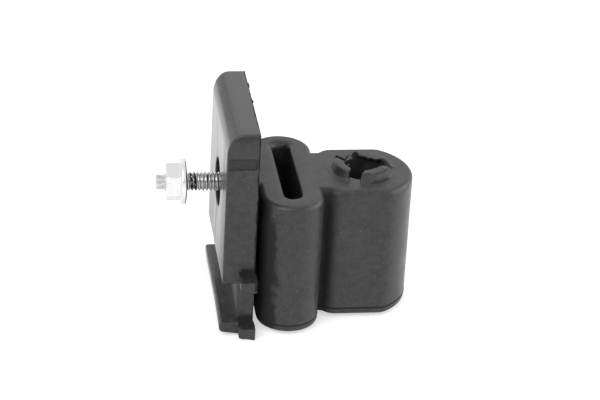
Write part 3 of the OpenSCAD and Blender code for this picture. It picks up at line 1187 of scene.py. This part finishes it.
    def form(self, x: Array, y: Array, z: Array) -> Array:
        """Distances to the whole moulding.

        Args:
            x: coordinates along X, in millimetres.
            y: coordinates along Y.
            z: heights.

        Returns:
            The distances.
        """
        x, y, z = (np.asarray(v, float) for v in (x, y, z))
        blocks = self._blocks(x, y, z)
        reach = self.collar_reach
        near = (np.abs(x - self.bore_x) < reach) & (np.abs(y) < reach) & (z > 0.0)
        if near.any():
            full = np.broadcast_arrays(x, y, z)
            blocks = np.array(np.broadcast_to(blocks, near.shape))
            blocks[near] = self._with_collar(blocks[near], *(v[near] for v in full))
        reach = np.maximum(np.maximum(y - self.slot_y[1], self.slot_y[0] - y), 0.0)
        slot = np.hypot(x - self.slot_x, reach) - self.slot_r
        flare = 1.3 * unit((y - 18.2) / 3.0) - 0.7 * unit((-16.5 - y) / 3.0)
        flare = flare - 0.9 * unit((x - self.slot_x) / 2.0 + 0.5) * unit((19.0 - y) / 3.0)
        blocks = trimmed(blocks, -slot, np.maximum(self.slot_rim + flare, 0.4))
        mouth = np.hypot(x - self.bore_x, y) - self.bore_r
        bore = np.maximum(mouth, z - self.lip_under)
        blocks = trimmed(blocks, -bore, 0.3)
        shape = blended(self._plate(x, y, z), blocks, self.block_fillet)
        recess = np.maximum(np.hypot(y, z) - self.recess_r, x - self.recess_depth)
        shape = trimmed(shape, -recess, 0.5)
        shank = np.maximum(np.hypot(y, z) - self.stud_r, x - self.head_x - 1.0)
        head = np.maximum(np.hypot(y, z) - self.head_r, slab(x, self.head_x, self.head_x + self.head_t))
        shape = np.maximum(shape, -np.minimum(shank, head))
        mark_x, mark_z, half_l, half_h = self.mark
        depth = self.mark_depth + 0.12 * self.nick.at(x, 0.0 * y, z)
        mark = corner_plate(x - mark_x, z - mark_z, half_l, half_h, 0.7)
        return trimmed(shape, -np.maximum(mark, self.plate_half - depth - np.abs(y)), 0.12)

    def build(self) -> Any:
        """Builds the moulding.

        Returns:
            The object that stands for the CAD body.
        """
        far = grid_lines(Y_STOPS)
        grid = (grid_lines(X_STOPS), np.concatenate([-far[:0:-1], far]), grid_lines(Z_STOPS))
        LOG.info("moulding grid %d x %d x %d", *(len(line) for line in grid))
        data = Skin(self.form, grid).mesh("hanger_moulding", self.triangles)
        obj = placed("hanger_moulding", data)
        data.materials.append(self.finish.material())
        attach(obj, BODY)
        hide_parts("hanger_body")
        return obj


@dataclass
class Thread:
    """The rolled thread, made by Geometry Nodes as one sheared sheet wrapped round the stud."""

    pitch: float = 1.27
    crest_r: float = 3.26
    root_r: float = 2.62
    nose_r: float = 2.50
    length: float = 23.8
    rows_per_turn: int = 14
    columns: int = 72

    def _inputs(self) -> dict[str, float | int]:
        """The tree's named inputs, its lengths in metres."""
        rows = round((self.length / self.pitch + 3.0) * self.rows_per_turn)
        return {
            "Pitch": self.pitch * MM,
            "Crest Radius": self.crest_r * MM,
            "Root Radius": self.root_r * MM,
            "Nose Radius": self.nose_r * MM,
            "Length": self.length * MM,
            "Rows": rows + 1,
            "Columns": self.columns + 1,
            "Turns": rows / self.rows_per_turn,
        }

    def _tree(self, finish: Any) -> Any:
        """Builds the node tree.

        Args:
            finish: the material.

        Returns:
            The tree, with named inputs for its sizes.
        """
        tree = bpy.data.node_groups.new("rolled_thread", "GeometryNodeTree")
        kit = NodeKit(tree)
        for name, value in self._inputs().items():
            kind = "NodeSocketInt" if isinstance(value, int) else "NodeSocketFloat"
            tree.interface.new_socket(name, in_out="INPUT", socket_type=kind)
        tree.interface.new_socket("Geometry", in_out="OUTPUT", socket_type="NodeSocketGeometry")
        given = kit.node("NodeGroupInput")
        size = {"Size X": 1.0, "Size Y": 1.0}
        count = {"Vertices X": given.tap("Columns"), "Vertices Y": given.tap("Rows")}
        sheet = kit.node("GeometryNodeMeshGrid", {**size, **count})
        u, v, _ = kit.axes(kit.node("GeometryNodeInputPosition").tap())
        around = u + 0.5
        phase = (v + 0.5) * given.tap("Turns")
        raw = (phase + around - 1.5) * given.tap("Pitch")
        along = raw.maximum(0.0).minimum(given.tap("Length"))
        peak = 1.0 - (phase.fraction() * 2.0 - 1.0).magnitude()
        tooth = peak.ramp(0.08, 0.66)
        crest, root, nose = given.tap("Crest Radius"), given.tap("Root Radius"), given.tap("Nose Radius")
        radius = (root + (crest - root) * tooth).minimum(nose + along * 1.1)
        half = given.tap("Pitch") * 0.4
        shut = raw.above(0.0 - half) * (given.tap("Length") + half - raw).above(0.0)
        radius = radius * shut
        angle = around * math.tau
        corner = {0: along, 1: radius * angle.cosine(), 2: radius * angle.sine()}
        place = kit.node("ShaderNodeCombineXYZ", corner)
        moved = kit.node("GeometryNodeSetPosition", {"Geometry": sheet, "Position": place})
        welded = kit.node("GeometryNodeMergeByDistance", {"Geometry": moved, "Distance": 0.002 * MM})
        real = kit.node("GeometryNodeRealizeInstances", {"Geometry": welded})
        dressed = kit.node("GeometryNodeSetMaterial", {"Geometry": real, "Material": finish})
        kit.node("NodeGroupOutput", {"Geometry": dressed})
        return tree

    def mesh(self, finish: Any) -> Any:
        """Runs the tree.

        Args:
            finish: the material.

        Returns:
            The thread's mesh along +X from zero, in metres.
        """
        tree, values = self._tree(finish), self._inputs()
        obj = placed("thread_sheet", bpy.data.meshes.new("thread_sheet"))
        modifier = obj.modifiers.new("rolled_thread", "NODES")
        modifier.node_group = tree
        for item in tree.interface.items_tree:
            if item.in_out == "INPUT":
                modifier[item.identifier] = values[item.name]
        return plain_copy(obj, "rolled_thread")


def turned(profile: Curve) -> Any:
    """A solid of revolution about X, closed flat at both ends.

    Args:
        profile: places along X and radii, in millimetres.

    Returns:
        The mesh, in metres.
    """
    shape = bmesh.new()
    rings = []
    angles = [math.tau * k / ROUND_FACES for k in range(ROUND_FACES)]
    for along, radius in ((profile[0][0], 0.0), *profile, (profile[-1][0], 0.0)):
        if radius == 0.0:
            rings.append([shape.verts.new((along * MM, 0.0, 0.0))] * ROUND_FACES)
            continue
        spots = [(along * MM, radius * MM * math.cos(a), radius * MM * math.sin(a)) for a in angles]
        rings.append([shape.verts.new(spot) for spot in spots])
    for low, high in zip(rings, rings[1:]):
        for k in range(ROUND_FACES):
            n = (k + 1) % ROUND_FACES
            shape.faces.new(list(dict.fromkeys((low[k], low[n], high[n], high[k]))))
    data = bpy.data.meshes.new("turned")
    shape.to_mesh(data)
    shape.free()
    return data


def joined(name: str, parts: list[Any], sharp: float = math.radians(38.0)) -> Any:
    """One mesh from several, faces outward, smooth but for its sharp edges.

    Args:
        name: its name.
        parts: the meshes.
        sharp: the angle from which an edge stays sharp.

    Returns:
        The mesh.
    """
    shape = bmesh.new()
    for part in parts:
        shape.from_mesh(part)
    bmesh.ops.recalc_face_normals(shape, faces=shape.faces)
    data = bpy.data.meshes.new(name)
    shape.to_mesh(data)
    shape.free()
    data.shade_smooth()
    data.set_sharp_from_angle(angle=sharp)
    return data


@dataclass
class Stud:
    """The stud: plain point, rolled thread, and the round head inside the plate, in millimetres."""

    out: float = 21.6
    point_r: float = 2.55
    point_l: float = 2.9
    point_bevel: float = 0.35
    thread: Thread = field(default_factory=Thread)
    shank_x: float = 4.9
    head_x: float = 6.4
    head_t: float = 2.4
    head_r: float = 10.98
    shank_r: float = 3.1
    overlap: float = 0.1

    def build(self) -> Any:
        """Builds the stud.

        Returns:
            The object that stands for the CAD stud.
        """
        finish = ZincFinish("zinc_rolled_thread", grime=True).material()
        tip, start = -self.out, -self.out + self.point_l
        thread = self.thread.mesh(finish)
        thread.transform(Matrix.Translation((start * MM, 0.0, 0.0)))
        nose, joint = (tip, self.point_r - self.point_bevel), (start + self.overlap, self.point_r)
        point = turned((nose, (tip + self.point_bevel, self.point_r), joint))
        shank = ((self.shank_x, self.shank_r), (self.head_x, self.shank_r))
        head = turned((*shank, (self.head_x, self.head_r), (self.head_x + self.head_t, self.head_r)))
        data = joined("threaded_stud", [thread, point, head])
        data.materials.clear()
        data.materials.append(finish)
        obj = placed("threaded_stud", data)
        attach(obj, BODY)
        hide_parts("mounting_stud")
        return obj


@dataclass
class Nut:
    """The hexagon nut with its sloping flange, in millimetres."""

    flats: float = 12.0
    height: float = 7.0
    flange_r: float = 7.95
    flange_rim: float = 1.7
    flange_slope: float = 13.0
    gap: float = 11.3
    turn: float = 51.0
    bevel: float = 30.0
    face_r: float = 6.1
    hole_r: float = 3.31
    mouth: float = 0.6
    mark_place: Triple = (6.3, -5.4, 2.5)
    mark_half: Triple = (0.75, 1.2, 1.9)
    triangles: int = 60000

    def form(self, x: Array, y: Array, z: Array) -> Array:
        """Distances to the nut, x measured from its free end.

        Args:
            x: coordinates along X, in millimetres.
            y: coordinates along Y.
            z: heights.

        Returns:
            The distances.
        """
        x, y, z = (np.asarray(v, float) for v in (x, y, z))
        radius = np.hypot(y, z)
        angles = [math.radians(30.0 + 60.0 * k - self.turn) for k in range(3)]
        sides = [np.abs(y * math.sin(a) + z * math.cos(a)) - 0.5 * self.flats for a in angles]
        shape = trimmed(trimmed(sides[0], sides[1], 0.2), sides[2], 0.2)
        tilt = math.radians(self.bevel)
        cone = (radius - self.face_r) * math.sin(tilt) - x * math.cos(tilt)
        shape = trimmed(trimmed(shape, cone, 0.35), -x, 0.4)
        shape = np.maximum(shape, x - self.height + 0.3)
        lean = math.radians(self.flange_slope)
        rim_x = self.height - self.flange_rim
        slope = (radius - self.flange_r) * math.sin(lean) + (rim_x - x) * math.cos(lean)
        flange = rounded(radius - self.flange_r, np.maximum(x - self.height, slope), 0.50)
        shape = blended(shape, flange, 0.35)
        shape = blended(shape, egg((x, y, z), self.mark_place, self.mark_half) * 0.8, 0.4)
        shape = trimmed(shape, self.hole_r - radius, 0.3)
        mouth = (self.hole_r + self.mouth - radius - x) * math.sqrt(0.5)
        shape = trimmed(shape, mouth, 0.15)
        return np.maximum(shape, x - self.height)

    def build(self) -> Any:
        """Builds the nut.

        Returns:
            The object that stands for the CAD nut.
        """
        along = np.linspace(-0.6, self.height + 0.6, 76)
        across = np.linspace(-8.4, 8.4, 146)
        data = Skin(self.form, (along, across, across)).mesh("flanged_nut", self.triangles)
        data.transform(Matrix.Translation(((-self.gap - self.height) * MM, 0.0, 0.0)))
        finish = ZincFinish("zinc_flange_nut", tone=0.88, shade=0.84, dent=0.03, speckle=0.15)
        data.materials.append(finish.material())
        obj = placed("flanged_nut", data)
        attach(obj, BODY)
        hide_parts("flange_nut")
        return obj


@dataclass
class Camera:
    """The photograph's camera, fitted to the object's edges."""

    azimuth: float = -8.8
    elevation: float = 27.32
    roll: float = 3.26
    distance: float = 809.42
    target: Triple = (29.29, 0.0, -7.87)
    lens: float = 138.37

    def back(self) -> Vector:
        """The direction from the object to the camera."""
        a, e = math.radians(self.azimuth), math.radians(self.elevation)
        return Vector((math.sin(a) * math.cos(e), -math.cos(a) * math.cos(e), math.sin(e)))

    def build(self) -> Any:
        """Places the camera and makes it the scene's.

        Returns:
            The camera object.
        """
        a, r = math.radians(self.azimuth), math.radians(self.roll)
        back = self.back()
        level = Vector((math.cos(a), math.sin(a), 0.0))
        upright = back.cross(level)
        right = level * math.cos(r) + upright * math.sin(r)
        up = upright * math.cos(r) - level * math.sin(r)
        data = bpy.data.cameras.new("photo_camera")
        data.sensor_width = 36.0
        data.lens = self.lens
        data.clip_start, data.clip_end = 0.05, 30.0
        obj = bpy.data.objects.new("photo_camera", data)
        turn = Matrix((right, up, back)).transposed().to_4x4()
        obj.matrix_world = Matrix.Translation((Vector(self.target) + back * self.distance) * MM) @ turn
        bpy.context.scene.collection.objects.link(obj)
        bpy.context.scene.camera = obj
        return obj


@dataclass
class Studio:
    """A pale floor, a pale surround and soft light."""

    floor_z: float = -45.9
    floor_gap: float = 0.02
    floor_half: float = 9.0
    floor_tone: float = 0.80
    floor_glow: float = 0.55
    gloss_loss: float = 0.15
    surround: float = 0.55
    zenith: float = 0.85
    lens_dim: float = 0.15
    aim: Triple = (0.025, 0.0, -0.01)

    def _floor(self) -> None:
        """Lays the floor, which looks white and keeps the shadow."""
        size, z = self.floor_half, (self.floor_z - self.floor_gap) * MM
        data = bpy.data.meshes.new("studio_floor")
        corners = [(-size, -size, z), (size, -size, z), (size, size, z), (-size, size, z)]
        data.from_pydata(corners, [], [(0, 1, 2, 3)])
        obj = placed("studio_floor", data)
        made = bpy.data.materials.new("pale_floor")
        made.use_nodes = True
        kit = NodeKit(made.node_tree)
        path = kit.node("ShaderNodeLightPath")
        shiny = path.tap("Is Glossy Ray")
        seen = (path.tap("Is Camera Ray") + path.tap("Is Transmission Ray") + shiny).clamped()
        level = seen * self.floor_glow - shiny * self.gloss_loss
        plain = kit.node("ShaderNodeBsdfDiffuse", {"Color": grey(self.floor_tone)})
        glow = kit.node("ShaderNodeEmission", {"Color": grey(1.0), "Strength": level})
        both = kit.node("ShaderNodeAddShader", {0: plain, 1: glow})
        kit.node("ShaderNodeOutputMaterial", {"Surface": both})
        data.materials.append(made)

    def _sky(self) -> None:
        """Sets the surround: even for light, darker overhead in gloss."""
        world = bpy.data.worlds.new("studio_surround")
        world.use_nodes = True
        bpy.context.scene.world = world
        kit = NodeKit(world.node_tree)
        path = kit.node("ShaderNodeLightPath")
        way = kit.node("ShaderNodeTexCoord").tap("Generated")
        _, _, height = kit.axes(way)
        facing = kit.node("ShaderNodeVectorMath", {0: way, 1: Camera().back()}, operation="DOT_PRODUCT")
        spot = 1.0 - facing.tap("Value").ramp(0.965, 0.985) * (1.0 - self.lens_dim)
        gloss = (height.ramp(0.88, 0.52) * (1.0 - self.zenith) + self.zenith) * spot
        shiny = path.tap("Is Glossy Ray")
        plain = (path.tap("Is Camera Ray") + path.tap("Is Transmission Ray")).clamped()
        level = plain + (1.0 - plain) * (shiny * gloss + (1.0 - shiny) * self.surround)
        back = kit.node("ShaderNodeBackground", {"Color": grey(1.0), "Strength": level})
        kit.node("ShaderNodeOutputWorld", {"Surface": back})

    def _panel(self, name: str, place: Triple, size: tuple[float, float], watts: float) -> None:
        """Hangs one soft panel that faces the object.

        Args:
            name: its name.
            place: its middle in metres.
            size: its width and height in metres.
            watts: its power.
        """
        data = bpy.data.lights.new(name, "AREA")
        data.shape = "RECTANGLE"
        data.size, data.size_y = size
        data.energy = watts
        obj = bpy.data.objects.new(name, data)
        obj.location = place
        obj.rotation_mode = "QUATERNION"
        aim = Vector(self.aim) - Vector(place)
        obj.rotation_quaternion = aim.to_track_quat("-Z", "Y")
        bpy.context.scene.collection.objects.link(obj)

    def build(self) -> None:
        """Builds floor, surround and lights."""
        self._floor()
        self._sky()
        self._panel("key_panel", (-0.75, -0.75, 1.15), (0.9, 0.9), 9.0)
        self._panel("fill_panel", (1.25, -0.05, 0.40), (1.4, 1.1), 8.5)
        bpy.context.scene.view_settings.view_transform = "Standard"


def main() -> None:
    """Builds the whole scene."""
    logging.basicConfig(level=logging.INFO, format="%(message)s")
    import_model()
    Camera().build()
    Studio().build()
    for made in (Moulding().build(), Stud().build(), Nut().build()):
        LOG.info("%s has %d faces", made.name, len(made.data.polygons))


if __name__ == "__main__":
    main()
